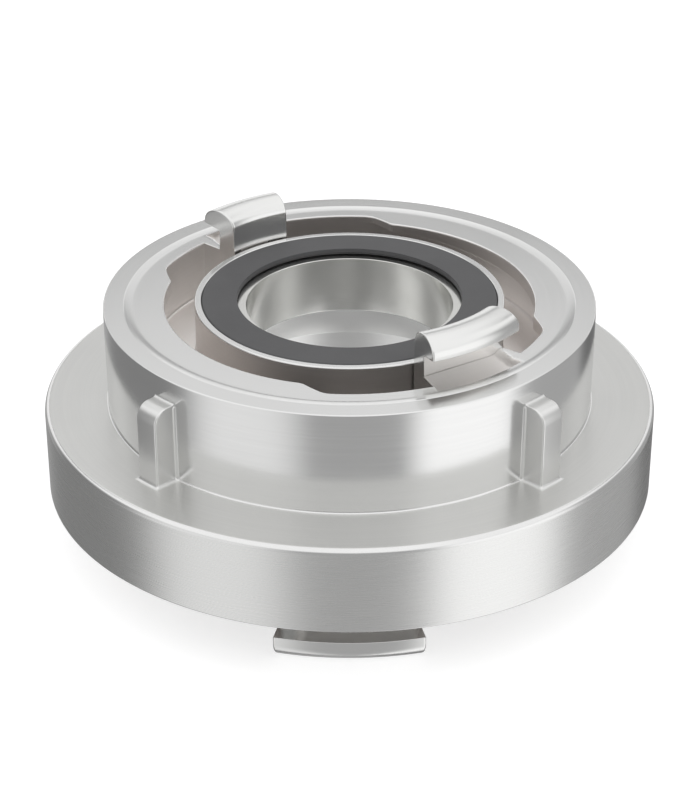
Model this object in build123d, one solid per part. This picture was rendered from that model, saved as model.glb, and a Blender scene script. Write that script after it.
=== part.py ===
from build123d import *
import math
import os

# Quarter turn fire hose coupling: a rigid reducer between a size 75 and a size 52 hose coupling.
# Millimetres and degrees. Z is the axis of the waterway. The part stands on the heads of the two
# large claws at z = 0, and the small coupling face looks up.

# Rings, the step between them and the waterway
small_ring_height = 20.9
large_ring_height = 18.0
ring_corner_radius = 0.6
step_corner_radius = 1.2
step_root_radius = 1.2
small_bore_length = 12.0
bore_cone_length = 9.0
large_mouth_length = 5.0
large_mouth_step = 3.5

# Coupling face of the small end, size 52. The clear distance between the claws sets all
# diameters: inwards come the seal carrier, the seal and the bore, outwards the track mouth,
# the lip and the wall of the ring.
small_claw_spacing = 63.4
small_claw_slit = 0.45
small_claw_neck = 5.0
small_claw_overhang = 3.8
small_claw_gap = 3.9
small_claw_band = 0.8
small_claw_rise = 8.5
small_claw_angle = 24.6
small_second_claw_angle = 29.2
small_claw_direction = 127.0
small_mouth_width = 6.15
small_lip_overhang = 3.4
small_lip_thickness = 3.3
small_track_depth = 12.0
small_ring_wall = 8.7
small_seat_width = 6.15
small_seat_depth = 6.0
small_ledge_width = 2.8
small_step_width = 5.9

# Coupling face of the large end, size 75
large_claw_spacing = 89.0
large_claw_slit = 0.5
large_claw_neck = 7.3
large_claw_overhang = 5.2
large_claw_gap = 5.4
large_claw_band = 1.8
large_claw_rise = 12.0
large_claw_angle = 29.8
large_second_claw_angle = 29.8
large_claw_direction = 90.0
large_mouth_width = 8.5
large_lip_overhang = 4.9
large_lip_thickness = 4.8
large_track_depth = 12.8
large_ring_wall = 5.1
large_seat_width = 7.8
large_seat_depth = 6.4
large_ledge_width = 2.8
large_step_width = 2.2

# Pattern that both faces share. Seen from outside and going clockwise, each half of a face has
# a claw, an entry window, a lip and a notch. Angles count from the middle of the claw.
claw_undercut_rise = 0.7
claw_edge_radius = 0.4
claw_root = 2.5
window_angle = 44.0
window_ramp_angle = 6.5
lip_end_angle = 139.5
notch_tip_angle = 147.0
notch_tip_radius = 1.0
lip_corner_radius = 1.8
lip_ramp_angle = 32.0
lip_ramp_share = 0.5
lip_ramp_inset = 0.3
face_step_drop = 0.15
face_step_rise = 0.2
face_step_slope = 1.7
claw_slit_floor = 1.0
relief_depth = 0.9
relief_lead_angle = 2.0
relief_land_angle = 8.5
relief_end_run = 1.5
carrier_wall = 1.4

# Seals
seal_proud = 0.25
seal_lip_reach = 1.0
seal_lip_thickness = 1.2
seal_ledge_gap = 0.3
seal_fit = 0.1
seal_edge_radius = 0.3
seat_undercut = 0.4

# Spanner lugs on the wall of the small ring
lug_count = 4
lug_first_angle = 45.0
lug_width = 5.4
lug_reach = 5.0
lug_top_gap = 4.7
lug_corner_radius = 3.0
lug_edge_radius = 0.5
lug_root_radius = 1.0

# How far a cutting tool or an added block runs past the surface that it meets
overlap = 0.5

# Heights along the axis
large_face_z = large_claw_rise
step_z = large_face_z + large_ring_height
small_face_z = step_z + small_ring_height


class CouplingFace:
    """One coupling face in its own frame: face plane at z = 0, outside at +Z, first claw at +X."""

    def __init__(self, claw_spacing, claw_slit, claw_neck, claw_overhang, claw_gap, claw_band,
                 claw_rise, claw_angles, mouth_width, lip_overhang, lip_thickness, track_depth,
                 ring_wall, seat_width, seat_depth, ledge_width, step_width):
        self.claw_in = claw_spacing / 2
        self.neck_out = self.claw_in + claw_neck
        self.claw_out = self.neck_out + claw_overhang
        self.claw_gap = claw_gap
        self.claw_band = claw_band
        self.claw_rise = claw_rise
        self.claw_halves = [(0, claw_angles[0] / 2), (180, claw_angles[1] / 2)]
        self.carrier_r = self.claw_in - claw_slit
        self.lip_r = self.carrier_r + mouth_width
        self.lip_thickness = lip_thickness
        self.track_r = self.lip_r + lip_overhang
        self.track_depth = track_depth
        self.ring_r = self.track_r + ring_wall
        self.seat_out = self.carrier_r - carrier_wall
        self.seat_in = self.seat_out - seat_width
        self.seat_depth = seat_depth
        self.seal_bore_r = self.seat_in - seal_lip_reach
        self.bore_r = self.seat_in - ledge_width
        self.step_r = self.ring_r - step_width


small = CouplingFace(
    small_claw_spacing, small_claw_slit, small_claw_neck, small_claw_overhang, small_claw_gap,
    small_claw_band, small_claw_rise, (small_claw_angle, small_second_claw_angle),
    small_mouth_width, small_lip_overhang, small_lip_thickness, small_track_depth, small_ring_wall,
    small_seat_width, small_seat_depth, small_ledge_width, small_step_width)
large = CouplingFace(
    large_claw_spacing, large_claw_slit, large_claw_neck, large_claw_overhang, large_claw_gap,
    large_claw_band, large_claw_rise, (large_claw_angle, large_second_claw_angle),
    large_mouth_width, large_lip_overhang, large_lip_thickness, large_track_depth, large_ring_wall,
    large_seat_width, large_seat_depth, large_ledge_width, large_step_width)

# Depth of the inner part of each ring face below its rim
face_drop = face_step_drop + face_step_rise

# Each face's own frame, placed on the reducer. The large face looks down.
small_place = Pos(0, 0, small_face_z) * Rot(0, 0, small_claw_direction)
large_place = Pos(0, 0, large_face_z) * Rot(0, 0, large_claw_direction) * Rot(180, 0, 0)


def polar(radius, angle):
    """Point in the face plane at a radius and an angle."""
    turn = math.radians(angle)
    return (radius * math.cos(turn), radius * math.sin(turn))


def arc(radius, start, end):
    """Arc about the axis in the face plane."""
    return ThreePointArc(polar(radius, start), polar(radius, (start + end) / 2), polar(radius, end))


def sector(inner, outer, start, end):
    """Flat piece of a ring between two radii and two angles."""
    return make_face([
        Line(polar(inner, start), polar(outer, start)),
        arc(outer, start, end),
        Line(polar(outer, end), polar(inner, end)),
        arc(inner, end, start),
    ])


def turned(points, rounded=()):
    """Solid of revolution from points (radius, height). rounded gives (point number, radius)."""
    outline = make_face(Polyline(*[(r, 0, z) for r, z in points], close=True))
    for number, radius in rounded:
        r, z = points[number]
        corner = outline.vertices().sort_by_distance(Vector(r, 0, z))[0]
        outline = fillet(corner, radius)
    return revolve(outline, Axis.Z)


def halves(shape):
    """The shape and its copy half a turn round the axis."""
    return shape + Rot(0, 0, 180) * shape


def blank():
    """Both rings as one turned blank with the waterway through it."""
    cone_z = small_face_z - seal_ledge(small) - small_bore_length
    mouth_z = large_face_z + seal_ledge(large) + large_mouth_length
    waist_r = large.bore_r - large_mouth_step
    points = [
        (small.bore_r, small_face_z),
        (small.ring_r, small_face_z),
        (small.ring_r, step_z),
        (large.ring_r, step_z),
        (large.ring_r, large_face_z),
        (large.bore_r, large_face_z),
        (large.bore_r, mouth_z),
        (waist_r, mouth_z + large_mouth_step),
        (waist_r, cone_z - bore_cone_length),
        (small.bore_r, cone_z),
    ]
    return turned(points, [(1, ring_corner_radius), (2, step_root_radius),
                           (3, step_corner_radius), (4, ring_corner_radius)])


def seal_ledge(face):
    """Depth of the metal ledge that the seal's inner lip covers."""
    return seal_lip_thickness + seal_ledge_gap - seal_proud


def track(face):
    """Undercut ring track for the claws of the other half, open through the lip's bore."""
    return turned([
        (face.carrier_r, overlap),
        (face.lip_r, overlap),
        (face.lip_r, -face.lip_thickness),
        (face.track_r, -face.lip_thickness),
        (face.track_r, -face.track_depth),
        (face.carrier_r, -face.track_depth),
    ])


def opening(face):
    """Wide entry window, the space behind the claw and the notch, as one cut through the lip."""
    inner = (face.carrier_r + face.lip_r) / 2
    start = -window_angle - window_ramp_angle
    end = 180 - lip_end_angle
    tip = 180 - notch_tip_angle
    corners = [
        (polar(face.lip_r, start), lip_corner_radius),
        (polar(face.track_r, -window_angle), lip_corner_radius),
        (polar(face.track_r, tip), notch_tip_radius),
        (polar(face.lip_r, end), lip_corner_radius),
    ]
    outline = make_face([
        Line(polar(inner, start), corners[0][0]),
        Line(corners[0][0], corners[1][0]),
        arc(face.track_r, -window_angle, tip),
        Line(corners[2][0], corners[3][0]),
        Line(corners[3][0], polar(inner, end)),
        arc(inner, end, start),
    ])
    for corner, radius in corners:
        outline = fillet(outline.vertices().sort_by_distance(Vector(*corner))[0], radius)
    depth = face.lip_thickness + overlap
    return halves(Pos(0, 0, -depth) * extrude(outline, depth + overlap))


def lip_ramp(face):
    """Sloping cut under the first stretch of each lip, which draws the other half's claw in."""
    end = -window_angle - window_ramp_angle - lip_ramp_angle
    middle = (-window_angle + end) / 2
    run = face.track_r * math.sin(math.radians(-window_angle - middle)) + overlap
    low = -face.lip_thickness
    high = low + face.lip_thickness * lip_ramp_share
    near = (face.carrier_r + face.lip_r) / 2
    wedge = make_face(Polyline((near, -run, low - overlap), (near, run, low - overlap),
                               (near, run, high), (near, -run, low), close=True))
    reach = extrude(wedge, face.track_r, dir=(1, 0, 0))
    outer = face.track_r - lip_ramp_inset
    ring = Cylinder(outer, face.track_depth, align=(Align.CENTER, Align.CENTER, Align.MAX))
    return halves((Rot(0, 0, middle) * reach) & ring)


def face_step(face):
    """Shallow step that sets the inner part of the ring face back."""
    return turned([
        (face.carrier_r, overlap),
        (face.step_r + face_step_slope, overlap),
        (face.step_r + face_step_slope, 0),
        (face.step_r, -face_step_rise),
        (face.step_r, -face_drop),
        (face.carrier_r, -face_drop),
    ])


def seal_seat(face):
    """Groove for the seal, wider at its floor, and the ledge inside it."""
    ledge = seal_ledge(face)
    groove = turned([
        (face.seat_in, overlap),
        (face.seat_out, overlap),
        (face.seat_out, 0),
        (face.seat_out + seat_undercut, -face.seat_depth),
        (face.seat_in - seat_undercut, -face.seat_depth),
        (face.seat_in, -ledge),
    ])
    mouth = Cylinder(face.seat_in + seat_undercut, ledge + overlap,
                     align=(Align.CENTER, Align.CENTER, Align.MIN))
    return groove + Pos(0, 0, -ledge) * mouth


def claw_blocks(face):
    """Solid stretches of the track that carry the claws, with a slit next to the seal carrier."""
    blocks = []
    slit_depth = face.track_depth - claw_slit_floor
    for turn, half in face.claw_halves:
        foot = sector(face.carrier_r - overlap, face.track_r + overlap, -half, half)
        top = sector(face.claw_in, face.track_r + overlap, -half, half)
        block = Pos(0, 0, -face.track_depth - overlap) * extrude(foot, claw_slit_floor + overlap)
        block += Pos(0, 0, -slit_depth) * extrude(top, slit_depth - face_drop)
        blocks.append(Rot(0, 0, turn) * block)
    return blocks[0] + blocks[1]


def claw_reliefs(face):
    """Sloping pocket behind each claw: it starts at the claw's first end and ends in a short rise."""
    pockets = []
    outer = face.step_r - face_step_drop
    ring = Cylinder(outer, face.track_depth) - Cylinder(face.neck_out - overlap, face.track_depth)
    for turn, half in face.claw_halves:
        start = -half - relief_lead_angle
        end = half - relief_land_angle
        run = outer * math.sin(math.radians((end - start) / 2))
        near = face.claw_in
        wedge = make_face(Polyline((near, -run, overlap), (near, -run, -face_drop),
                                   (near, run, -face_drop - relief_depth),
                                   (near, run + relief_end_run, -face_drop),
                                   (near, run + relief_end_run, overlap), close=True))
        pocket = extrude(wedge, face.track_r, dir=(1, 0, 0)) & ring
        pockets.append(Rot(0, 0, turn + (start + end) / 2) * pocket)
    return pockets


def claws(face):
    """Two hooked claws: a neck, an overhang that faces outwards and a rounded head."""
    head_z = face.claw_gap + claw_undercut_rise + face.claw_band
    middle = (face.claw_in + face.claw_out) / 2
    half = face.claw_out - middle
    crown = face.claw_rise - head_z
    outline = make_face([
        Polyline((face.claw_in, head_z), (face.claw_in, -claw_root),
                 (face.neck_out, -claw_root), (face.neck_out, face.claw_gap),
                 (face.claw_out, face.claw_gap + claw_undercut_rise), (face.claw_out, head_z)),
        EllipticalCenterArc((middle, head_z), half, crown, 0, arc_size=180),
    ])
    section = Plane.XZ * outline
    pair = []
    for turn, half in face.claw_halves:
        claw = revolve(section, Axis.Z, half * 2)
        rims = [edge for edge in claw.edges() if on_head_end(edge, face)]
        claw = fillet(rims, claw_edge_radius)
        pair.append(Rot(0, 0, turn - half) * claw)
    return pair


def on_head_end(edge, face):
    """True for the edges round the two ends of a claw's head."""
    start = edge.position_at(0)
    end = edge.position_at(1)
    same_turn = abs(math.atan2(start.Y, start.X) - math.atan2(end.Y, end.X)) < 0.01
    return same_turn and edge.center().Z > face.claw_gap + claw_undercut_rise / 2 - 0.01


def lugs():
    """Spanner lugs: upright ribs on the small ring that run down into the step."""
    root = small.ring_r - overlap
    tip = small.ring_r + lug_reach
    top = small_face_z - lug_top_gap
    side = make_face(Polyline((root, 0, step_z - overlap), (tip, 0, step_z - overlap),
                              (tip, 0, top), (root, 0, top), close=True))
    corner = side.vertices().sort_by_distance(Vector(tip, 0, top))[0]
    side = fillet(corner, lug_corner_radius)
    rib = extrude(side, lug_width / 2, both=True)
    rims = [edge for edge in rib.edges() if abs(edge.position_at(0).Y - edge.position_at(1).Y) < 0.01
            and edge.center().X > small.ring_r and edge.center().Z > step_z]
    rib = fillet(rims, lug_edge_radius)
    return [Rot(0, 0, lug_first_angle + 360 / lug_count * n) * rib for n in range(lug_count)]


def lug_roots(body):
    """Upright edges between the lugs and the wall of the small ring."""
    roots = []
    for edge in body.edges().filter_by(Axis.Z):
        top = edge.position_at(0) if edge.position_at(0).Z > edge.center().Z else edge.position_at(1)
        if abs(math.hypot(top.X, top.Y) - small.ring_r) < 0.01 and top.Z < small_face_z - lug_top_gap + 0.01:
            roots.append(edge)
    return roots


def reducer_body():
    """The one-piece casting."""
    body = blank()
    for lug in lugs():
        body += lug
    body = fillet(lug_roots(body), lug_root_radius)
    for face, place in ((small, small_place), (large, large_place)):
        body -= place * face_step(face)
        body -= place * seal_seat(face)
        blocks = claw_blocks(face)
        for cut in (track(face), opening(face), lip_ramp(face)):
            body -= place * (cut - blocks)
        for pocket in claw_reliefs(face):
            body -= place * pocket
        for claw in claws(face):
            body += place * claw
    return body


def seal(face):
    """Lip seal: a foot that fills the groove and an inner lip over the metal ledge."""
    ledge = seal_ledge(face)
    gap = seal_fit
    outer = face.seat_out - gap
    foot_out = face.seat_out + seat_undercut - gap
    foot_in = face.seat_in - seat_undercut + gap
    return turned([
        (face.seal_bore_r, seal_proud),
        (outer, seal_proud),
        (foot_out, -face.seat_depth),
        (foot_in, -face.seat_depth),
        (face.seat_in + gap, -ledge),
        (face.seat_in + gap, seal_proud - seal_lip_thickness),
        (face.seal_bore_r, seal_proud - seal_lip_thickness),
    ], [(0, seal_edge_radius), (1, seal_edge_radius), (6, seal_edge_radius)])


parts = {
    "reducer_body": reducer_body(),
    "seal_52": small_place * seal(small),
    "seal_75": large_place * seal(large),
}

os.makedirs("parts", exist_ok=True)
for name, shape in parts.items():
    export_step(shape, f"parts/{name}.step")
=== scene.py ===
import math
import bmesh
import bpy
import numpy as np
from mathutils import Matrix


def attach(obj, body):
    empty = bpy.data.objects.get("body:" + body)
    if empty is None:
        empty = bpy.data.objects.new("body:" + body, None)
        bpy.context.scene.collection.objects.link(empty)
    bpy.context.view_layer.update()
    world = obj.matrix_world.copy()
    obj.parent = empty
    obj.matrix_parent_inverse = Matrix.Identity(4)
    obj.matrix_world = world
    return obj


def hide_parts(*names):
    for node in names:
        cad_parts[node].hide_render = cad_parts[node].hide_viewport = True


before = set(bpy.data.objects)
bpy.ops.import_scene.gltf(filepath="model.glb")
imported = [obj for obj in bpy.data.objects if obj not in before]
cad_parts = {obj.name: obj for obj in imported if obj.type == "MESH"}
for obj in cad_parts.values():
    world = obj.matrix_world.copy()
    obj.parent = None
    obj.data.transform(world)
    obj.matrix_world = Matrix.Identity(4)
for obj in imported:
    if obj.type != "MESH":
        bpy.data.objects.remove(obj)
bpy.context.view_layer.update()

# Casting
# One casting of aluminium alloy: a small coupling ring on a larger one, two hooked claws on each
# face and the waterway through it. Rings, faces and waterway are turned, the track under the lips
# and the pockets behind the claws are milled, and each surface gets its finish by its place.
mm = 0.001  # sizes are in millimetres and turns in degrees, z runs along the waterway
small_face_z = 51.0
large_face_z = 12.0
step_z = 30.0
wall_radius = 49.5
small_face = {
    "ring": 49.62, "bead": 43.6, "lip": 37.4, "lip_depth": 3.3, "track": 40.7, "floor": 12.0,
    "carrier": 31.25, "seat_out": 29.85, "seat_in": 23.7, "seat_floor": 6.0, "bore": 20.9,
    "claw_in": 31.85, "neck": 35.35, "claw_out": 40.5, "gap": 3.9, "band": 0.8, "crest": 8.39,
    "claws": ((0.0, 12.3, 12.3), (180.0, 14.4, 16.7)), "direction": 127.0, "way": -1.0,
}
large_face = {
    "ring": 62.5, "bead": 59.65, "lip": 52.5, "lip_depth": 4.8, "track": 57.4, "floor": 12.8,
    "carrier": 44.0, "seat_out": 42.6, "seat_in": 34.8, "seat_floor": 6.4, "bore": 32.0,
    "claw_in": 44.5, "neck": 50.3, "claw_out": 57.0, "gap": 5.4, "band": 1.8, "crest": 12.0,
    "claws": ((0.0, 14.9, 14.9), (180.0, 14.9, 14.9)), "direction": 90.0, "way": 1.0,
}
lip_start = (36.0, 43.7, 50.8, 58.0)
lip_end = (132.0, 139.3, 147.4, 156.0)
lip_outer_round = 4.0
lip_inner_round = 3.0
lip_corners = ((41.0, 53.5), (137.0, 150.0))
lip_corner_step = 0.5
lip_ramp_middle = 63.25
lip_ramp_half = 19.25
lip_ramp_margin = 0.5
lip_ramp_share = 0.5
hook_slope = 0.7
slit_floor = 1.0
slit_edge = 0.18
head_edge = 0.4
hook_edge = 0.3
head_points = 28
neck_ledge = 0.1
edge_places = (0.0, 0.015, 0.05, 0.1, 0.18, 0.28, 0.4)
seal_ledge = 1.25
seat_taper = 0.4
rim_foot = 1.15
bead_width = 1.8
bead_rise = 0.04
bead_points = 8
bead_bow = 0.55
pocket_margin = 0.55
face_drop = 0.2
rim_rise = 0.17
relief_depth = 0.9
relief_land = 6.8
relief_start = 2.0
relief_rise = 2.2
relief_overlap = 0.4
relief_reach = 40.0
step_edge = 1.2
step_root = 0.4
waist_radius = 28.5
waist_top_z = 28.65
mouth_length = 5.0
bore_length = 12.0
mouth_z = large_face_z + seal_ledge + mouth_length
bore_foot_z = small_face_z - seal_ledge - bore_length
smooth_limit = 38.0
bead_limit = 9.0
tilt_limit = 1.3


def ease(a):
    """Smooth step from 0 to 1."""
    a = min(max(a, 0.0), 1.0)
    return a * a * (3.0 - 2.0 * a)


def rounded_corner(before, corner, after, radius, steps):
    """Points of the arc that rounds a corner."""
    a = np.subtract(before, corner)
    b = np.subtract(after, corner)
    length_a = float(np.hypot(*a)) + 1e-9
    length_b = float(np.hypot(*b)) + 1e-9
    a = a / length_a
    b = b / length_b
    half = math.acos(max(-1.0, min(1.0, float(a @ b)))) / 2
    if steps == 0:
        return [tuple(corner)]
    if math.pi / 2 - half < 0.01:
        reach = 0.0
    else:
        reach = min(radius / math.tan(half), 0.45 * length_a, 0.45 * length_b)
    start = np.add(corner, a * reach)
    end = np.add(corner, b * reach)
    points = []
    for n in range(steps + 1):
        s = n / steps
        bend = 2 * s * (1 - s) * math.sin(half)
        share = (1 - s) ** 2 + s ** 2 + bend
        point = start * (1 - s) ** 2 + np.array(corner) * bend + end * s ** 2
        points.append(tuple(point / share))
    return points


def rounded_run(corners, first, last):
    """Rounds a run of corners (radius, height, rounding, steps) between two outer points."""
    places = [first] + [c[:2] for c in corners] + [last]
    points = []
    for n, (_, _, radius, steps) in enumerate(corners):
        points += rounded_corner(places[n], places[n + 1], places[n + 2], radius, steps)
    return points


def lip_table(face):
    """Turn and radius of points on the lip's inner edge, from the first claw to the second."""
    track = face["track"]
    lip = face["lip"]
    table = [(0.0, track)]
    for turns, radii, rounding in (
            (lip_start, (track, track, lip, lip), (lip_outer_round, lip_inner_round)),
            (lip_end, (lip, lip, track, track), (lip_inner_round, lip_outer_round))):
        flat = [(r * math.cos(math.radians(t)), r * math.sin(math.radians(t)))
                for t, r in zip(turns, radii)]
        for n in (1, 2):
            for x, y in rounded_corner(flat[n - 1], flat[n], flat[n + 1], rounding[n - 1], 10):
                table.append((math.degrees(math.atan2(y, x)), math.hypot(x, y)))
    table.append((180.0, track))
    return [t for t, _ in table], [r for _, r in table]


def lip_under(face, turn):
    """Depth of the lip's underside, which slopes down over the first stretch of the lip."""
    run = face["track"] * math.sin(math.radians(lip_ramp_half)) + lip_ramp_margin
    along = face["lip"] * math.sin(math.radians(lip_ramp_middle - turn))
    share = min(max((along + run) / (2 * run), 0.0), 1.0)
    return face["lip_depth"] * (1.0 - lip_ramp_share * share)


def relief(face, turn, radius):
    """Depth of the sloping pocket behind the claws at a turn from the first claw."""
    depth = 0.0
    for middle, ahead, behind in face["claws"]:
        from_claw = (turn - middle + 180.0) % 360.0 - 180.0
        if abs(from_claw) > relief_reach:
            continue
        start = ahead + relief_start
        end = relief_land - behind
        run = (face["bead"] - pocket_margin) * math.sin(math.radians((start - end) / 2))
        along = radius * math.sin(math.radians((start + end) / 2 - from_claw)) + run
        if along > 0.0:
            rise = ease((along - 2 * run + relief_overlap) / (relief_rise + relief_overlap))
            depth = relief_depth * min(along / (2 * run), 1.0) * (1.0 - rise)
    return depth


def track_rows(face, turn, edge):
    """Profile from the lip's edge over the track to the foot of the seal carrier."""
    top = -face_drop - relief(face, turn, edge)
    under = -lip_under(face, turn % 180.0)
    corners = [(edge, top, 0.35, 4), (edge, under, 0.3, 2), (face["track"], under, 0.2, 1),
               (face["track"], -face["floor"], 0.5, 3), (face["carrier"], -face["floor"], 0.5, 3)]
    return rounded_run(corners, (face["ring"], top), (face["carrier"], 0.0))


def claw_rows(face, turn, from_end):
    """Profile over a claw to the floor of the slit behind it, from_end away from the claw's end.

    The edges of the claw are broken towards its ends, each by its own rounding.
    """
    head = face["gap"] + hook_slope + face["band"]
    from_claw = (turn + 90.0) % 180.0 - 90.0
    neck = face["neck"] / math.cos(math.radians(from_claw))
    outer = face["claw_out"]
    inner = face["claw_in"]
    rows = []
    for n in range(7):
        radius = face["track"] - (face["track"] - neck - 0.2) * n / 6
        rows.append((radius, -face_drop - relief(face, turn, radius), slit_edge if n else 0.0))
    foot = rows[-1][1]
    rows += [(neck + 0.12, foot - neck_ledge, 0.05), (neck, foot - neck_ledge, 0.05)]
    hook = [(neck, face["gap"], 0.2, 3), (outer, face["gap"] + hook_slope, 0.16, 3),
            (outer, head, 0.2, 1)]
    rows += [(r, z, hook_edge) for r, z in rounded_run(hook, (neck, foot), (outer, head + 1.0))]
    middle = (inner + outer) / 2
    for n in range(1, head_points + 1):
        along = math.pi * n / (head_points + 1)
        rows.append((middle + (outer - middle) * math.cos(along),
                     head + (face["crest"] - head) * math.sin(along), head_edge))
    slit = slit_floor - face["floor"]
    rows += [(inner, head, head_edge), (inner, head * 0.6, hook_edge), (inner, 0.3, slit_edge),
             (inner, foot - 0.18, slit_edge), (inner, slit + 0.5, slit_edge), (inner, slit, 0.0),
             (face["carrier"], slit, 0.0)]
    points = np.array([row[:2] for row in rows])
    to_next = np.roll(points, -1, axis=0) - points
    from_last = points - np.roll(points, 1, axis=0)
    to_next /= np.linalg.norm(to_next, axis=1)[:, None] + 1e-12
    from_last /= np.linalg.norm(from_last, axis=1)[:, None] + 1e-12
    way = to_next + from_last
    way /= np.linalg.norm(way, axis=1)[:, None] + 1e-12
    inward = np.stack([-way[:, 1], way[:, 0]], axis=1)
    stretch = np.clip((way * to_next).sum(axis=1), 0.6, 1.0)
    for n, (_, _, edge) in enumerate(rows):
        left = max(edge - from_end, 0.0)
        points[n] += inward[n] * (edge - math.sqrt(edge ** 2 - left ** 2)) / stretch[n]
    return [tuple(p) for p in points]


def inside_claw(face, turn):
    """Distance from a turn to the nearer end of the claw there, less than 0 between the claws."""
    middle_r = (face["claw_in"] + face["claw_out"]) / 2
    distances = []
    for middle, ahead, behind in face["claws"]:
        from_claw = (turn - middle + 180.0) % 360.0 - 180.0
        distances.append(math.radians(min(ahead - from_claw, behind + from_claw)) * middle_r)
    return max(distances)


def face_runs(face, angle, on_claw):
    """One face's profile at an angle, in three runs: ring, track or claw, and seal seat."""
    turn = (angle - face["direction"]) * face["way"] % 360.0
    edge = float(np.interp(turn % 180.0, *face["table"]))
    inside = face["bead"] - pocket_margin
    pocket = -face_drop - relief(face, turn, inside)
    ring = [(face["ring"], 0.0, 0.3, 3), (face["bead"] + bead_width + 0.15, 0.0, 0.0, 0)]
    for n in range(bead_points):
        share = n / (bead_points - 1)
        fall = (bead_rise + face_drop) * share * (1.0 + bead_bow - bead_bow * share)
        ring.append((face["bead"] + bead_width * (1.0 - share), bead_rise - fall, 0.0, 0))
    ring += [(inside, -face_drop, 0.0, 0), (inside, pocket, 0.0, 0)]
    ring = rounded_run(ring, (face["ring"], -5.0), (face["track"], pocket))
    rim = [(face["carrier"], rim_rise, 0.3, 3), (face["seat_out"], rim_rise, 0.15, 1),
           (face["seat_out"] + seat_taper, -face["seat_floor"], 0.0, 0),
           (face["seat_in"] - seat_taper, -face["seat_floor"], 0.0, 0),
           (face["seat_in"], -seal_ledge, 0.1, 1), (face["bore"], -seal_ledge, 0.15, 3)]
    rim = rounded_run(rim, (face["carrier"], -5.0), (face["bore"], -9.0))
    rim = [(face["carrier"], rim_foot - face["floor"])] + rim
    if on_claw:
        return ring, claw_rows(face, turn, max(inside_claw(face, turn), 0.0)), rim
    return ring, track_rows(face, turn, edge), rim


def claw_at(face, angle):
    """Whether a claw stands at an angle round the axis, or else the open track."""
    return inside_claw(face, (angle - face["direction"]) * face["way"] % 360.0) > -1e-6


def casting_angles():
    """Angles round the axis at which the profile is drawn, closer together where it changes."""
    angles = set(range(360))
    for face in (small_face, large_face):
        turns = [turn + half for half in (0.0, 180.0) for corner in lip_corners
                 for turn in np.arange(*corner, lip_corner_step)]
        for middle, ahead, behind in face["claws"]:
            for end in (ahead, -behind):
                for inside in edge_places:
                    arc = math.degrees(inside / face["claw_in"])
                    turns.append(middle + end - math.copysign(arc, end))
            turns += [middle + relief_land - behind - n * 0.4 for n in range(-2, 8)]
        for turn in turns:
            angles.add(round((face["direction"] + face["way"] * turn) % 360.0, 5))
    ordered = []
    for angle in sorted(angles):
        if not ordered or angle - ordered[-1] > 0.004:
            ordered.append(angle)
    return ordered


def casting_shell():
    """Closed mesh of the casting without its lugs.

    A column of points runs round the profile at each angle, in five runs: wall and small ring,
    small track or claw, waterway, large track or claw, large ring. Where a claw ends there are two
    columns, one over the claw and one over the track, with a flat end face between them.
    """
    for face in (small_face, large_face):
        face["table"] = lip_table(face)
    columns = []
    for angle in casting_angles():
        states = []
        for offset in (-0.002, 0.002):
            state = (claw_at(small_face, angle + offset), claw_at(large_face, angle + offset))
            if state not in states:
                states.append(state)
        columns += [(angle, state) for state in states]
    points = []
    runs = []
    bore = rounded_run(
        [(small_face["bore"], bore_foot_z, 0.3, 1), (waist_radius, waist_top_z, 0.4, 2),
         (waist_radius, mouth_z + 3.5, 0.4, 1), (large_face["bore"], mouth_z, 0.4, 1)],
        (small_face["bore"], small_face_z), (large_face["bore"], large_face_z))
    step = rounded_run(
        [(large_face["ring"], step_z, step_edge, 6), (wall_radius, step_z, step_root, 5)],
        (large_face["ring"], large_face_z), (wall_radius, small_face_z))
    for angle, (small_claw, large_claw) in columns:
        top = face_runs(small_face, angle, small_claw)
        top = [[(r, small_face_z + z) for r, z in run] for run in top]
        bottom = face_runs(large_face, angle, large_claw)
        bottom = [[(r, large_face_z - z) for r, z in reversed(run)] for run in bottom]
        turn = math.radians(angle)
        column = []
        for run in (step + top[0], top[1], top[2] + bore + bottom[2], bottom[1], bottom[0]):
            first = len(points)
            points += [(r * math.cos(turn) * mm, r * math.sin(turn) * mm, z * mm) for r, z in run]
            column.append(list(range(first, len(points))))
        runs.append(column)
    sides = []
    for j in range(len(columns)):
        k = (j + 1) % len(columns)
        same_angle = columns[j][0] == columns[k][0]
        for n in range(5):
            a, b = runs[j][n], runs[k][n]
            if n in (1, 3):
                a = [runs[j][n - 1][-1]] + a + [runs[j][n + 1][0]]
                b = [runs[k][n - 1][-1]] + b + [runs[k][n + 1][0]]
            if not same_angle:
                sides += [(a[i], b[i], b[i + 1], a[i + 1]) for i in range(len(a) - 1)]
            elif n in (1, 3) and len(a) != len(b):
                while math.dist(points[a[1]], points[b[1]]) < 1e-8:
                    a, b = a[1:], b[1:]
                while math.dist(points[a[-2]], points[b[-2]]) < 1e-8:
                    a, b = a[:-1], b[:-1]
                sides.append(tuple(a + b[::-1]))
        if not same_angle:
            sides.append((runs[j][4][-1], runs[k][4][-1], runs[k][0][0], runs[j][0][0]))
    mesh = bpy.data.meshes.new("casting_rings")
    mesh.from_pydata(points, [], sides)
    return mesh


def outward(mesh):
    """Merges doubles and turns all faces outwards."""
    work = bmesh.new()
    work.from_mesh(mesh)
    bmesh.ops.remove_doubles(work, verts=work.verts, dist=2e-7)
    bmesh.ops.recalc_face_normals(work, faces=work.faces)
    work.to_mesh(mesh)
    work.free()
    return mesh


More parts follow.
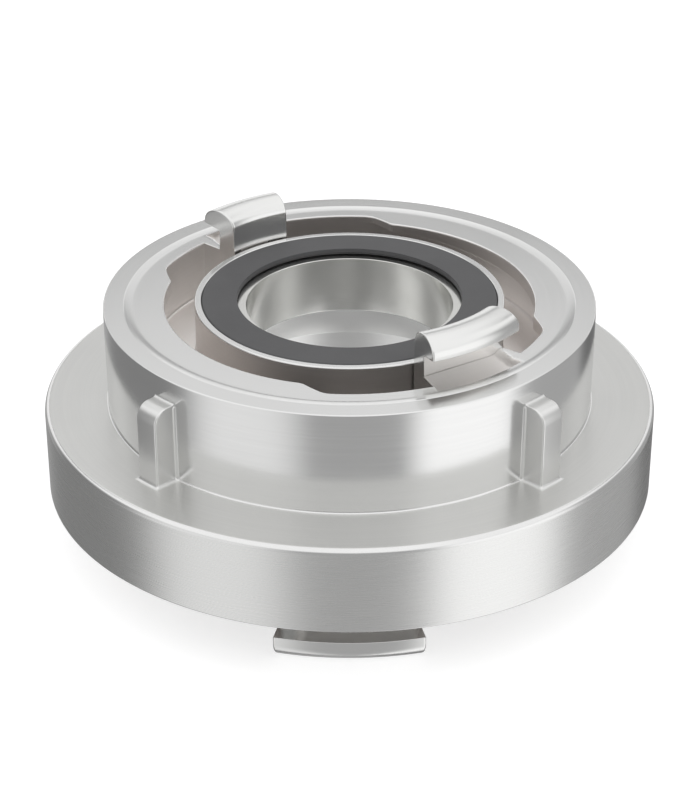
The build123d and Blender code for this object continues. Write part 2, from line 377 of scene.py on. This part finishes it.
def shown(mesh, name):
    """Object of a mesh with its own corner normals.

    A corner's normal is the mean of the faces round its vertex that lie within a limit of its own
    face, weighted by their area squared: flat faces stay flat and real edges stay sharp. Small
    sideways tilts are taken out, so that turned surfaces shade evenly round the axis.
    """
    piece = bpy.data.objects.new(name, mesh)
    bpy.context.scene.collection.objects.link(piece)
    mesh.shade_smooth()
    points = np.array([v.co for v in mesh.vertices])
    sides = mesh.polygons
    way = np.array([side.normal for side in sides])
    area = np.array([side.area for side in sides])
    middle = np.array([side.center for side in sides]) / mm
    radius = np.hypot(middle[:, 0], middle[:, 1])
    depth = np.minimum(np.abs(middle[:, 2] - small_face_z), np.abs(middle[:, 2] - large_face_z))
    limit = np.full(len(sides), math.cos(math.radians(smooth_limit)))
    for face in (small_face, large_face):
        beaded = np.abs(radius - face["bead"] - bead_width / 2) < bead_width / 2 + 0.2
        limit[beaded & (depth < 0.4)] = math.cos(math.radians(bead_limit))
    vertex = np.array([corner.vertex_index for corner in mesh.loops])
    own = np.repeat(np.arange(len(sides)), [side.loop_total for side in sides])
    order = np.argsort(vertex, kind="stable")
    count = np.bincount(vertex, minlength=len(points))
    first = np.concatenate([[0], np.cumsum(count)[:-1]])
    normals = np.zeros((len(vertex), 3))
    for n in range(int(count.max())):
        has = count[vertex] > n
        other = own[order[np.minimum(first[vertex] + n, len(vertex) - 1)]]
        near = (way[other] * way[own]).sum(axis=1) > np.maximum(limit[other], limit[own])
        share = np.where(has & near, area[other] ** 2, 0.0)
        normals += way[other] * share[:, None]
    normals /= np.linalg.norm(normals, axis=1)[:, None] + 1e-30
    sideways = np.stack([-points[vertex, 1], points[vertex, 0], np.zeros(len(vertex))], axis=1)
    sideways /= np.linalg.norm(sideways, axis=1)[:, None] + 1e-12
    tilt = (normals * sideways).sum(axis=1)
    tilt[np.abs(tilt) > math.sin(math.radians(tilt_limit))] = 0.0
    normals -= tilt[:, None] * sideways
    normals /= np.linalg.norm(normals, axis=1)[:, None] + 1e-30
    mesh.normals_split_custom_set(normals.tolist())
    return piece


def finish_nodes(name):
    """New material with its node tree and a Principled shader wired to the output."""
    material = bpy.data.materials.new(name)
    material.use_nodes = True
    tree = material.node_tree
    tree.nodes.clear()
    shader = tree.nodes.new("ShaderNodeBsdfPrincipled")
    output = tree.nodes.new("ShaderNodeOutputMaterial")
    tree.links.new(shader.outputs[0], output.inputs[0])
    return material, tree, shader


def wired(tree, kind, inputs=(), **settings):
    """Adds a node, sets it and wires or fills its inputs (place, socket or value)."""
    node = tree.nodes.new(kind)
    for key, value in settings.items():
        setattr(node, key, value)
    for place, value in inputs:
        if isinstance(value, bpy.types.NodeSocket):
            tree.links.new(value, node.inputs[place])
        else:
            node.inputs[place].default_value = value
    return node


def lathe_coordinates(tree, round_scale, radius_scale, height_scale):
    """Pattern space of a turned surface: it changes slowly round the axis and fast across."""
    where = wired(tree, "ShaderNodeTexCoord").outputs["Object"]
    split = wired(tree, "ShaderNodeSeparateXYZ", [(0, where)])
    flat = wired(tree, "ShaderNodeCombineXYZ", [(0, split.outputs[0]), (1, split.outputs[1])])
    radius = wired(tree, "ShaderNodeVectorMath", [(0, flat.outputs[0])], operation="LENGTH")
    way = wired(tree, "ShaderNodeVectorMath", [(0, flat.outputs[0])], operation="NORMALIZE")
    round_way = wired(tree, "ShaderNodeVectorMath", [(0, way.outputs[0]), ("Scale", round_scale)],
                      operation="SCALE")
    across_r = wired(tree, "ShaderNodeMath", [(0, radius.outputs["Value"]), (1, radius_scale)],
                     operation="MULTIPLY")
    across_z = wired(tree, "ShaderNodeMath", [(0, split.outputs[2]), (1, height_scale)],
                     operation="MULTIPLY")
    across = wired(tree, "ShaderNodeMath", [(0, across_r.outputs[0]), (1, across_z.outputs[0])],
                   operation="ADD")
    lift = wired(tree, "ShaderNodeCombineXYZ", [(2, across.outputs[0])])
    both = wired(tree, "ShaderNodeVectorMath", [(0, round_way.outputs[0]), (1, lift.outputs[0])],
                 operation="ADD")
    return both.outputs[0], where


def machined_aluminium(name, tone, roughness, spread, line_scale, line_round, line_depth,
                       line_share):
    """Aluminium with fine tool marks that run round the axis, and soft clouding.

    Clouds and marks, mixed by line_share, vary the tone a little and the roughness by spread.
    """
    material, tree, shader = finish_nodes(name)
    lines_at, where = lathe_coordinates(tree, line_round, line_scale, line_scale)
    lines = wired(tree, "ShaderNodeTexNoise",
                  [("Vector", lines_at), ("Scale", 1.0), ("Detail", 3.0), ("Roughness", 0.6)])
    clouds = wired(tree, "ShaderNodeTexNoise",
                   [("Vector", where), ("Scale", 45.0), ("Detail", 2.0), ("Roughness", 0.5)])
    mixed = wired(tree, "ShaderNodeMix", [(0, line_share), (2, clouds.outputs["Fac"]),
                                          (3, lines.outputs["Fac"])], data_type="FLOAT")
    low = tuple(c * 0.95 for c in tone)
    shade = wired(tree, "ShaderNodeValToRGB", [(0, mixed.outputs[0])])
    shade.color_ramp.elements[0].position = 0.35
    shade.color_ramp.elements[0].color = low + (1.0,)
    shade.color_ramp.elements[1].position = 0.65
    shade.color_ramp.elements[1].color = tone + (1.0,)
    tree.links.new(shade.outputs[0], shader.inputs["Base Color"])
    rough = wired(tree, "ShaderNodeMapRange",
                  [(0, mixed.outputs[0]), (1, 0.3), (2, 0.7),
                   (3, roughness - spread), (4, roughness + spread)])
    tree.links.new(rough.outputs[0], shader.inputs["Roughness"])
    shader.inputs["Metallic"].default_value = 1.0
    grooves = wired(tree, "ShaderNodeBump",
                    [("Height", lines.outputs["Fac"]), ("Strength", line_depth),
                     ("Distance", 0.00002)])
    tree.links.new(grooves.outputs[0], shader.inputs["Normal"])
    return material


turned_aluminium = machined_aluminium("turned_aluminium", (0.82, 0.82, 0.815), 0.18, 0.02,
                                      2600.0, 1.5, 0.06, 0.5)
brushed_aluminium = machined_aluminium("brushed_aluminium", (0.81, 0.81, 0.80), 0.28, 0.04,
                                       9000.0, 7.0, 0.30, 0.8)
milled_aluminium_with_painted_light = machined_aluminium("milled_aluminium_with_painted_light", (0.86, 0.83, 0.81), 0.40, 0.03,
                                      1500.0, 2.0, 0.10, 0.4)
smoothed_aluminium = machined_aluminium("smoothed_aluminium", (0.83, 0.83, 0.82), 0.22, 0.02,
                                        1800.0, 3.0, 0.04, 0.3)
bored_aluminium = machined_aluminium("bored_aluminium", (0.80, 0.80, 0.775), 0.17, 0.02,
                                     1200.0, 1.2, 0.04, 0.3)
faced_aluminium = machined_aluminium("faced_aluminium", (0.74, 0.74, 0.725), 0.30, 0.02,
                                     2000.0, 1.5, 0.06, 0.5)
waist_aluminium = machined_aluminium("waist_aluminium", (0.84, 0.84, 0.83), 0.36, 0.01,
                                     700.0, 1.5, 0.02, 0.3)
cast_aluminium = machined_aluminium("cast_aluminium", (0.80, 0.80, 0.79), 0.30, 0.02,
                                    90.0, 2.0, 0.0, 0.2)


def paint_light_on_sides(material, middle, side, dark, bright):
    """Painted light and shade: scales a material's colour from dark at the middle of the part to
    bright at its sides.
    """
    tree = material.node_tree
    where = wired(tree, "ShaderNodeTexCoord").outputs["Object"]
    split = wired(tree, "ShaderNodeSeparateXYZ", [(0, where)])
    to_side = wired(tree, "ShaderNodeMath", [(0, split.outputs[0])], operation="ABSOLUTE")
    share = wired(tree, "ShaderNodeMapRange", [(0, to_side.outputs[0]), (1, middle), (2, side),
                                               (3, dark), (4, bright)],
                  interpolation_type="SMOOTHSTEP")
    shader = [node for node in tree.nodes if node.type == "BSDF_PRINCIPLED"][0]
    tone = shader.inputs["Base Color"].links[0].from_socket
    scaled = wired(tree, "ShaderNodeVectorMath", [(0, tone), ("Scale", share.outputs[0])],
                   operation="SCALE")
    tree.links.new(scaled.outputs[0], shader.inputs["Base Color"])


# painted shade and light on the milled track: its walls are darker near and far and brighter at
# the left and right sides
paint_light_on_sides(milled_aluminium_with_painted_light, 0.012, 0.034, 0.74, 1.16)
casting_finishes = (turned_aluminium, brushed_aluminium, milled_aluminium_with_painted_light, smoothed_aluminium,
                    bored_aluminium, faced_aluminium, waist_aluminium)
turned, brushed, milled, smoothed, bored, faced, waist = range(len(casting_finishes))


def finish_at(radius, height, upward):
    """Number of the finish at a place on the casting, for a surface that faces up or not."""
    finish = turned
    if radius > large_face["ring"] - 0.2 and large_face_z + 0.7 < height < step_z - 1.0:
        finish = brushed
    elif radius < large_face["bore"] + 0.1:
        if bore_foot_z - 0.2 < height < bore_foot_z + bore_length + 0.1:
            finish = bored
        elif mouth_z - mouth_length - 0.1 < height < bore_foot_z:
            finish = waist
    elif radius > wall_radius + 0.1 and abs(height - step_z) < 0.05 and upward > 0.9:
        finish = faced
    for face, depth in ((small_face, small_face_z - height), (large_face, height - large_face_z)):
        if face["claw_in"] - 0.1 < radius < face["claw_out"] + 0.1 and depth < -0.02:
            finish = smoothed
        elif face["carrier"] - 0.05 < radius < face["bead"] - 0.1:
            if face_drop + 0.08 < depth < face["floor"] + 0.2:
                finish = milled
    return finish


casting_mesh = outward(casting_shell())
for finish in casting_finishes:
    casting_mesh.materials.append(finish)
for side in casting_mesh.polygons:
    x, y, z = side.center
    side.material_index = finish_at(math.hypot(x, y) / mm, z / mm, side.normal.z)
casting = shown(casting_mesh, "casting_rings")
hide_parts("reducer_body")
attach(casting, "root")

# Spanner lugs
# Four upright ribs on the wall of the small ring take the coupling spanner. They are cast on, run
# down into the step between the rings, and have a rounded outer top corner and soft root fillets.
lug_count = 4
lug_first_angle = 45.0
lug_width = 5.4
lug_reach = 5.0
lug_top_z = small_face_z - 4.7
lug_corner = 3.0
lug_edge = 0.35
lug_root = 0.7
corner_steps = 8
corner_rise = 0.28
top_steps = 2
top_rise = 0.15
root_steps = 4
root_rise = 0.3


def lug_mesh():
    """One lug at angle 0, as sections across it along its front and over its top.

    Each step of the spine pairs a point (out from the wall, up) of the outline with the point of
    the wall that its section runs to.
    """
    spine = []
    for n in range(root_steps + 1):
        turn = math.radians(90.0 * n / root_steps)
        out = lug_reach + lug_root * (1 - math.sin(turn))
        up = step_z + lug_root * (1 - math.cos(turn))
        spine.append(((out, up), (0.0, up)))
    straight = lug_top_z - lug_corner
    for n in range(1, 7):
        up = step_z + lug_root + (straight - step_z - lug_root) * n / 6
        spine.append(((lug_reach, up), (0.0, up)))
    for n in range(1, corner_steps + 1):
        turn = math.radians(90.0 * n / corner_steps)
        spine.append(((lug_reach - lug_corner * (1 - math.cos(turn)),
                       straight + lug_corner * math.sin(turn)),
                      (0.0, straight + corner_rise * n)))
    corner_end = straight + corner_rise * corner_steps
    for n in range(1, top_steps + 1):
        out = lug_reach - lug_corner - (lug_reach - lug_corner - lug_root) * n / top_steps
        spine.append(((out, lug_top_z), (0.0, corner_end + top_rise * n)))
    top_end = corner_end + top_rise * top_steps
    for n in range(1, root_steps + 1):
        turn = math.radians(90.0 * n / root_steps)
        up = lug_top_z + lug_root * (1 - math.cos(turn))
        spine.append(((lug_root * (1 - math.sin(turn)), up), (0.0, top_end + root_rise * n)))
    spine[-1] = (spine[-1][0], spine[-1][0])
    points = []
    count = 0
    for (out, up), (root_out, root_up) in spine:
        depth = math.hypot(out - root_out, up - root_up)
        way = ((root_out - out) / (depth + 1e-9), (root_up - up) / (depth + 1e-9))
        half = lug_width / 2
        if up < step_z + lug_root:
            low = lug_root - (up - step_z)
            half += lug_root - math.sqrt(max(lug_root ** 2 - low ** 2, 0.0))
        edge = min(lug_edge, 0.3 * depth)
        root = min(lug_root, 0.4 * depth)
        across = [(0.0, 0.0), (half - edge, 0.0)]
        for n in range(1, root_steps + 1):
            turn = math.radians(90.0 * n / root_steps)
            across.append((half - edge + edge * math.sin(turn), edge * (1 - math.cos(turn))))
        for n in range(root_steps + 1):
            turn = math.radians(90.0 * n / root_steps)
            across.append((half + root * (1 - math.cos(turn)),
                           depth - root + root * math.sin(turn)))
        across[-1] = (across[-1][0], depth + 0.03)
        section = [(-t, d) for t, d in reversed(across[1:])] + across
        count = len(section)
        for t, d in section:
            wall = math.sqrt(wall_radius ** 2 - t ** 2)
            points.append(((wall + out + way[0] * d) * mm, t * mm, (up + way[1] * d) * mm))
    sides = []
    for j in range(len(spine) - 1):
        for i in range(count - 1):
            sides.append((j * count + i, j * count + i + 1, (j + 1) * count + i + 1,
                          (j + 1) * count + i))
    mesh = bpy.data.meshes.new("spanner_lug")
    mesh.from_pydata(points, [], sides)
    return outward(mesh)


def spread_tree():
    """Node tree that repeats a piece at equal steps round the vertical axis."""
    tree = bpy.data.node_groups.new("spread_round_axis", "GeometryNodeTree")
    sockets = {}
    for name, kind, way in (("Piece", "NodeSocketGeometry", "INPUT"),
                            ("Count", "NodeSocketInt", "INPUT"),
                            ("First Angle", "NodeSocketFloat", "INPUT"),
                            ("Height", "NodeSocketFloat", "INPUT"),
                            ("Finish", "NodeSocketMaterial", "INPUT"),
                            ("Pieces", "NodeSocketGeometry", "OUTPUT")):
        sockets[name] = tree.interface.new_socket(name=name, in_out=way, socket_type=kind)
    given = tree.nodes.new("NodeGroupInput")
    result = tree.nodes.new("NodeGroupOutput")
    points = wired(tree, "GeometryNodePoints", [(0, given.outputs["Count"])])
    index = wired(tree, "GeometryNodeInputIndex")
    step = wired(tree, "ShaderNodeMath", [(0, 2 * math.pi), (1, given.outputs["Count"])],
                 operation="DIVIDE")
    turn = wired(tree, "ShaderNodeMath", [(0, index.outputs[0]), (1, step.outputs[0]),
                                          (2, given.outputs["First Angle"])],
                 operation="MULTIPLY_ADD")
    axis_turn = wired(tree, "ShaderNodeCombineXYZ", [(2, turn.outputs[0])])
    placed = wired(tree, "GeometryNodeInstanceOnPoints",
                   [("Points", points.outputs[0]), ("Instance", given.outputs["Piece"]),
                    ("Rotation", axis_turn.outputs[0])])
    raised = wired(tree, "ShaderNodeCombineXYZ", [(2, given.outputs["Height"])])
    moved = wired(tree, "GeometryNodeTransform",
                  [("Geometry", placed.outputs[0]), ("Translation", raised.outputs[0])])
    real = wired(tree, "GeometryNodeRealizeInstances", [(0, moved.outputs[0])])
    finished = wired(tree, "GeometryNodeSetMaterial",
                     [("Geometry", real.outputs[0]), ("Material", given.outputs["Finish"])])
    tree.links.new(finished.outputs[0], result.inputs[0])
    return tree, {name: socket.identifier for name, socket in sockets.items()}


spread_round_axis, spread_inputs = spread_tree()


def spread(mesh, name, count, first_angle, height, finish):
    """Repeats a piece round the axis and bakes it to a plain mesh object."""
    seed = bpy.data.objects.new(name + "_one", mesh)
    bpy.context.scene.collection.objects.link(seed)
    around = seed.modifiers.new("round_axis", "NODES")
    around.node_group = spread_round_axis
    around[spread_inputs["Count"]] = count
    around[spread_inputs["First Angle"]] = math.radians(first_angle)
    around[spread_inputs["Height"]] = height * mm
    around[spread_inputs["Finish"]] = finish
    ready = seed.evaluated_get(bpy.context.evaluated_depsgraph_get())
    baked = bpy.data.meshes.new_from_object(ready)
    baked.name = name
    bpy.data.objects.remove(seed)
    piece = shown(baked, name)
    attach(piece, "root")
    return piece


spanner_lugs = spread(lug_mesh(), "spanner_lugs", lug_count, lug_first_angle, 0.0,
                      cast_aluminium)
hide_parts("reducer_body")

# Lip seals
# A dark rubber ring lies in the groove of each coupling face. It is moulded, stands a little proud
# of its carrier, and a thin inner lip reaches over the metal ledge round the bore.
small_seal = {"bore": 22.7, "out": 29.75, "foot_out": 30.15, "foot_in": 23.6, "ledge_r": 23.8,
              "floor": 6.0, "lip": 1.2}
large_seal = {"bore": 33.8, "out": 42.5, "foot_out": 42.9, "foot_in": 34.7, "ledge_r": 34.9,
              "floor": 6.4, "lip": 1.2}
seal_proud = 0.25
notch_depth = 0.25
notch_z = (-0.74, -0.68, -0.62)
ring_steps = 240


def seal_section(seal, name):
    """Profile of a seal as a row of vertices (radius, 0, height over its face)."""
    lip_z = seal_proud - seal["lip"]
    corners = [(seal["out"], seal_proud, 0.35, 4), (seal["foot_out"], -seal["floor"], 0.3, 2),
               (seal["foot_in"], -seal["floor"], 0.3, 2), (seal["ledge_r"], -seal_ledge, 0.1, 1),
               (seal["ledge_r"], lip_z, 0.2, 1), (seal["bore"], lip_z, 0.1, 1),
               (seal["bore"], notch_z[0], 0.0, 0),
               (seal["bore"] + notch_depth, notch_z[1], 0.0, 0),
               (seal["bore"], notch_z[2], 0.0, 0), (seal["bore"], seal_proud, 0.13, 3)]
    places = [c[:2] for c in corners]
    points = rounded_run(corners, places[-1], places[0])
    mesh = bpy.data.meshes.new(name)
    edges = [(n, (n + 1) % len(points)) for n in range(len(points))]
    mesh.from_pydata([(r * mm, 0.0, z * mm) for r, z in points], edges, [])
    return mesh


def turned_tree():
    """Node tree that turns a closed profile, given as a ring of vertices, round the axis."""
    tree = bpy.data.node_groups.new("turned_ring", "GeometryNodeTree")
    sockets = {}
    for name, kind, way in (("Profile", "NodeSocketGeometry", "INPUT"),
                            ("Steps", "NodeSocketInt", "INPUT"),
                            ("Height", "NodeSocketFloat", "INPUT"),
                            ("Finish", "NodeSocketMaterial", "INPUT"),
                            ("Ring", "NodeSocketGeometry", "OUTPUT")):
        sockets[name] = tree.interface.new_socket(name=name, in_out=way, socket_type=kind)
    given = tree.nodes.new("NodeGroupInput")
    result = tree.nodes.new("NodeGroupOutput")
    size = wired(tree, "GeometryNodeAttributeDomainSize", [(0, given.outputs["Profile"])],
                 component="MESH")
    rows = wired(tree, "ShaderNodeMath", [(0, size.outputs["Point Count"]), (1, 1.0)],
                 operation="ADD")
    columns = wired(tree, "ShaderNodeMath", [(0, given.outputs["Steps"]), (1, 1.0)],
                    operation="ADD")
    sheet = wired(tree, "GeometryNodeMeshGrid", [("Vertices X", columns.outputs[0]),
                                                 ("Vertices Y", rows.outputs[0])])
    index = wired(tree, "GeometryNodeInputIndex")
    column = wired(tree, "ShaderNodeMath", [(0, index.outputs[0]), (1, rows.outputs[0])],
                   operation="DIVIDE")
    column = wired(tree, "ShaderNodeMath", [(0, column.outputs[0])], operation="FLOOR")
    row = wired(tree, "ShaderNodeMath", [(0, index.outputs[0]), (1, rows.outputs[0])],
                operation="MODULO")
    row = wired(tree, "ShaderNodeMath", [(0, row.outputs[0]), (1, size.outputs["Point Count"])],
                operation="MODULO")
    place = wired(tree, "GeometryNodeInputPosition")
    sample = wired(tree, "GeometryNodeSampleIndex",
                   [("Geometry", given.outputs["Profile"]), ("Index", row.outputs[0])],
                   data_type="FLOAT_VECTOR")
    value_in = [i for i in sample.inputs if i.name == "Value" and i.enabled][0]
    tree.links.new(place.outputs[0], value_in)
    value_out = [o for o in sample.outputs if o.enabled][0]
    step = wired(tree, "ShaderNodeMath", [(0, 2 * math.pi), (1, given.outputs["Steps"])],
                 operation="DIVIDE")
    turn = wired(tree, "ShaderNodeMath", [(0, column.outputs[0]), (1, step.outputs[0])],
                 operation="MULTIPLY")
    turned = wired(tree, "ShaderNodeVectorRotate", [("Vector", value_out),
                                                    ("Angle", turn.outputs[0])],
                   rotation_type="Z_AXIS")
    lift = wired(tree, "ShaderNodeCombineXYZ", [(2, given.outputs["Height"])])
    lifted = wired(tree, "ShaderNodeVectorMath", [(0, turned.outputs[0]), (1, lift.outputs[0])],
                   operation="ADD")
    moved = wired(tree, "GeometryNodeSetPosition", [("Geometry", sheet.outputs[0]),
                                                    ("Position", lifted.outputs[0])])
    closed = wired(tree, "GeometryNodeMergeByDistance", [("Geometry", moved.outputs[0]),
                                                         ("Distance", 0.000001)])
    real = wired(tree, "GeometryNodeRealizeInstances", [(0, closed.outputs[0])])
    finished = wired(tree, "GeometryNodeSetMaterial",
                     [("Geometry", real.outputs[0]), ("Material", given.outputs["Finish"])])
    tree.links.new(finished.outputs[0], result.inputs[0])
    return tree, {name: socket.identifier for name, socket in sockets.items()}


turned_ring, turned_inputs = turned_tree()


def seal_rubber():
    """Dark grey moulded rubber: nearly even, with a faint bloom and a fine skin."""
    material, tree, shader = finish_nodes("seal_rubber")
    where = wired(tree, "ShaderNodeTexCoord").outputs["Object"]
    bloom = wired(tree, "ShaderNodeTexNoise",
                  [("Vector", where), ("Scale", 90.0), ("Detail", 5.0), ("Roughness", 0.6)])
    skin = wired(tree, "ShaderNodeTexNoise",
                 [("Vector", where), ("Scale", 2200.0), ("Detail", 3.0), ("Roughness", 0.6)])
    shade = wired(tree, "ShaderNodeValToRGB", [(0, bloom.outputs["Fac"])])
    shade.color_ramp.elements[0].position = 0.3
    shade.color_ramp.elements[0].color = (0.085, 0.085, 0.088, 1.0)
    shade.color_ramp.elements[1].position = 0.75
    shade.color_ramp.elements[1].color = (0.105, 0.105, 0.108, 1.0)
    tree.links.new(shade.outputs[0], shader.inputs["Base Color"])
    rough = wired(tree, "ShaderNodeMapRange",
                  [(0, bloom.outputs["Fac"]), (3, 0.48), (4, 0.62)])
    tree.links.new(rough.outputs[0], shader.inputs["Roughness"])
    bump = wired(tree, "ShaderNodeBump", [("Height", skin.outputs["Fac"]), ("Strength", 0.25),
                                          ("Distance", 0.00003)])
    tree.links.new(bump.outputs[0], shader.inputs["Normal"])
    shader.inputs["Specular IOR Level"].default_value = 0.35
    return material


rubber = seal_rubber()


def seal_ring(seal, name, node, height, downward):
    """Seal made by turning its profile, for the upper face or turned over for the lower one."""
    section = seal_section(seal, name + "_profile")
    if downward:
        for point in section.vertices:
            point.co.z = -point.co.z
    seed = bpy.data.objects.new(name + "_profile", section)
    bpy.context.scene.collection.objects.link(seed)
    around = seed.modifiers.new("turned_ring", "NODES")
    around.node_group = turned_ring
    around[turned_inputs["Steps"]] = ring_steps
    around[turned_inputs["Height"]] = height * mm
    around[turned_inputs["Finish"]] = rubber
    ready = seed.evaluated_get(bpy.context.evaluated_depsgraph_get())
    baked = bpy.data.meshes.new_from_object(ready)
    baked.name = name
    bpy.data.objects.remove(seed)
    piece = shown(outward(baked), name)
    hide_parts(node)
    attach(piece, "root")
    return piece


seal_ring(small_seal, "upper_lip_seal", "seal_52", small_face_z, False)
seal_ring(large_seal, "lower_lip_seal", "seal_75", large_face_z, True)

# Studio
# A plain pale floor under soft light from all round, with panels of light and shade that draw the
# streaks on the turned walls. The wall behind is a ramp of light with one dark band, which the
# flat faces and the claws reflect. The camera sees a plain white room and a pale floor.
floor_half = 6.0
side_panels = (  # direction, half width of the core and of the soft rim, strength of the light
    (-140.0, 8.0, 36.0, 0.47), (-33.0, 16.0, 35.0, 0.74),
    (61.0, 4.0, 20.0, -0.26), (152.0, 20.0, 44.0, -0.18),
)
wall_stops = (  # height on the wall behind, strength of the light
    (-0.38, 0.42), (-0.22, 0.95), (0.28, 1.0), (0.34, 0.26), (0.39, 0.22), (0.435, 0.92),
    (0.52, 0.84), (0.66, 1.05),
)
wall_low, wall_high = -0.5, 0.75
wall_strength = 1.2
focal_pixels = 2261.7
picture_pixels = 800.0
sensor = 36.0
camera_pitch = 28.593

studio = bpy.context.scene
corners = [(x * floor_half, y * floor_half, 0.0) for x, y in ((-1, -1), (1, -1), (1, 1), (-1, 1))]
floor_mesh = bpy.data.meshes.new("studio_floor")
floor_mesh.from_pydata(corners, [], [(0, 1, 2, 3)])
floor = bpy.data.objects.new("studio_floor", floor_mesh)
studio.collection.objects.link(floor)
paper = bpy.data.materials.new("floor_paper")
paper.use_nodes = True
tree = paper.node_tree
tree.nodes.clear()
paper_out = tree.nodes.new("ShaderNodeOutputMaterial")
seen_by = wired(tree, "ShaderNodeLightPath")
matt = wired(tree, "ShaderNodeBsdfDiffuse", [("Color", (0.9, 0.9, 0.9, 1.0))])
pale = wired(tree, "ShaderNodeBsdfDiffuse", [("Color", (0.6, 0.6, 0.6, 1.0))])
glow = wired(tree, "ShaderNodeEmission", [("Strength", 0.66)])
lit = wired(tree, "ShaderNodeAddShader", [(0, pale.outputs[0]), (1, glow.outputs[0])])
plain = wired(tree, "ShaderNodeMixShader", [(0, seen_by.outputs["Is Camera Ray"]),
                                            (1, matt.outputs[0]), (2, lit.outputs[0])])
clear = wired(tree, "ShaderNodeBsdfTransparent")
both = wired(tree, "ShaderNodeMixShader", [(0, seen_by.outputs["Is Glossy Ray"]),
                                           (1, plain.outputs[0]), (2, clear.outputs[0])])
tree.links.new(both.outputs[0], paper_out.inputs[0])
floor_mesh.materials.append(paper)

room = bpy.data.worlds.new("soft_studio")
studio.world = room
room.use_nodes = True
tree = room.node_tree
tree.nodes.clear()
room_out = tree.nodes.new("ShaderNodeOutputWorld")
look = wired(tree, "ShaderNodeTexCoord").outputs["Generated"]
split = wired(tree, "ShaderNodeSeparateXYZ", [(0, look)])
flat = wired(tree, "ShaderNodeCombineXYZ", [(0, split.outputs[0]), (1, split.outputs[1])])
level = wired(tree, "ShaderNodeVectorMath", [(0, flat.outputs[0])], operation="NORMALIZE")
low = wired(tree, "ShaderNodeMapRange", [(0, split.outputs[2]), (1, 0.62), (2, 0.30), (3, 0.0),
                                         (4, 1.0)], interpolation_type="SMOOTHSTEP")
light = wired(tree, "ShaderNodeMapRange",
              [(0, split.outputs[2]), (1, 0.36), (2, 0.62), (3, 0.42), (4, 1.05)],
              interpolation_type="SMOOTHSTEP").outputs[0]
for panel, core, rim, strength in side_panels:
    toward = (math.cos(math.radians(panel)), math.sin(math.radians(panel)), 0.0)
    facing = wired(tree, "ShaderNodeVectorMath", [(0, level.outputs[0]), (1, toward)],
                   operation="DOT_PRODUCT")
    inside = wired(tree, "ShaderNodeMapRange",
                   [(0, facing.outputs["Value"]), (1, math.cos(math.radians(rim))),
                    (2, math.cos(math.radians(core))), (3, 0.0), (4, strength)],
                   interpolation_type="SMOOTHSTEP")
    held = wired(tree, "ShaderNodeMath", [(0, inside.outputs[0]), (1, low.outputs[0])],
                 operation="MULTIPLY")
    light = wired(tree, "ShaderNodeMath", [(0, light), (1, held.outputs[0])],
                  operation="ADD").outputs[0]

bow = wired(tree, "ShaderNodeMath", [(0, split.outputs[0]), (1, split.outputs[0])],
            operation="MULTIPLY")
over_bow = wired(tree, "ShaderNodeMath", [(0, split.outputs[2]), (1, bow.outputs[0])],
                 operation="SUBTRACT")
along = wired(tree, "ShaderNodeMapRange", [(0, over_bow.outputs[0]), (1, wall_low),
                                           (2, wall_high)])
wall = wired(tree, "ShaderNodeValToRGB", [(0, along.outputs[0])])
wall.color_ramp.interpolation = "EASE"
stops = wall.color_ramp.elements
for height, strength in wall_stops:
    stop = stops.new((height - wall_low) / (wall_high - wall_low))
    stop.color = (strength / wall_strength,) * 3 + (1.0,)
stops.remove(stops[0])
stops.remove(stops[-1])
wall_light = wired(tree, "ShaderNodeMath", [(0, wall.outputs[0]), (1, wall_strength)],
                   operation="MULTIPLY")
facing = wired(tree, "ShaderNodeVectorMath", [(0, level.outputs[0]), (1, (0.0, 1.0, 0.0))],
               operation="DOT_PRODUCT")
toward_wall = wired(tree, "ShaderNodeMapRange",
                    [(0, facing.outputs["Value"]), (1, math.cos(math.radians(64.0))),
                     (2, math.cos(math.radians(42.0)))], interpolation_type="SMOOTHSTEP")
above_foot = wired(tree, "ShaderNodeMapRange", [(0, split.outputs[2]), (1, -0.42), (2, -0.30)],
                   interpolation_type="SMOOTHSTEP")
on_wall = wired(tree, "ShaderNodeMath", [(0, toward_wall.outputs[0]), (1, above_foot.outputs[0])],
                operation="MULTIPLY")
light = wired(tree, "ShaderNodeMix", [(0, on_wall.outputs[0]), (2, light),
                                      (3, wall_light.outputs[0])], data_type="FLOAT").outputs[0]
seen_by = wired(tree, "ShaderNodeLightPath")
shown_light = wired(tree, "ShaderNodeMix",
                    [(0, seen_by.outputs["Is Camera Ray"]), (2, light), (3, 1.0)],
                    data_type="FLOAT")
sky = wired(tree, "ShaderNodeBackground", [("Color", (1.0, 1.0, 1.0, 1.0)),
                                           ("Strength", shown_light.outputs[0])])
tree.links.new(sky.outputs[0], room_out.inputs[0])

camera = bpy.data.objects.new("camera", bpy.data.cameras.new("camera"))
camera.location = (0.0, -0.4110, 0.2513)
camera.rotation_euler = (math.radians(90.0 - camera_pitch), 0.0, 0.0)
camera.data.lens = focal_pixels / picture_pixels * sensor
camera.data.sensor_width = sensor
camera.data.shift_x = 0.0006
camera.data.clip_start = 0.01
studio.collection.objects.link(camera)
studio.camera = camera
studio.view_settings.view_transform = "Standard"
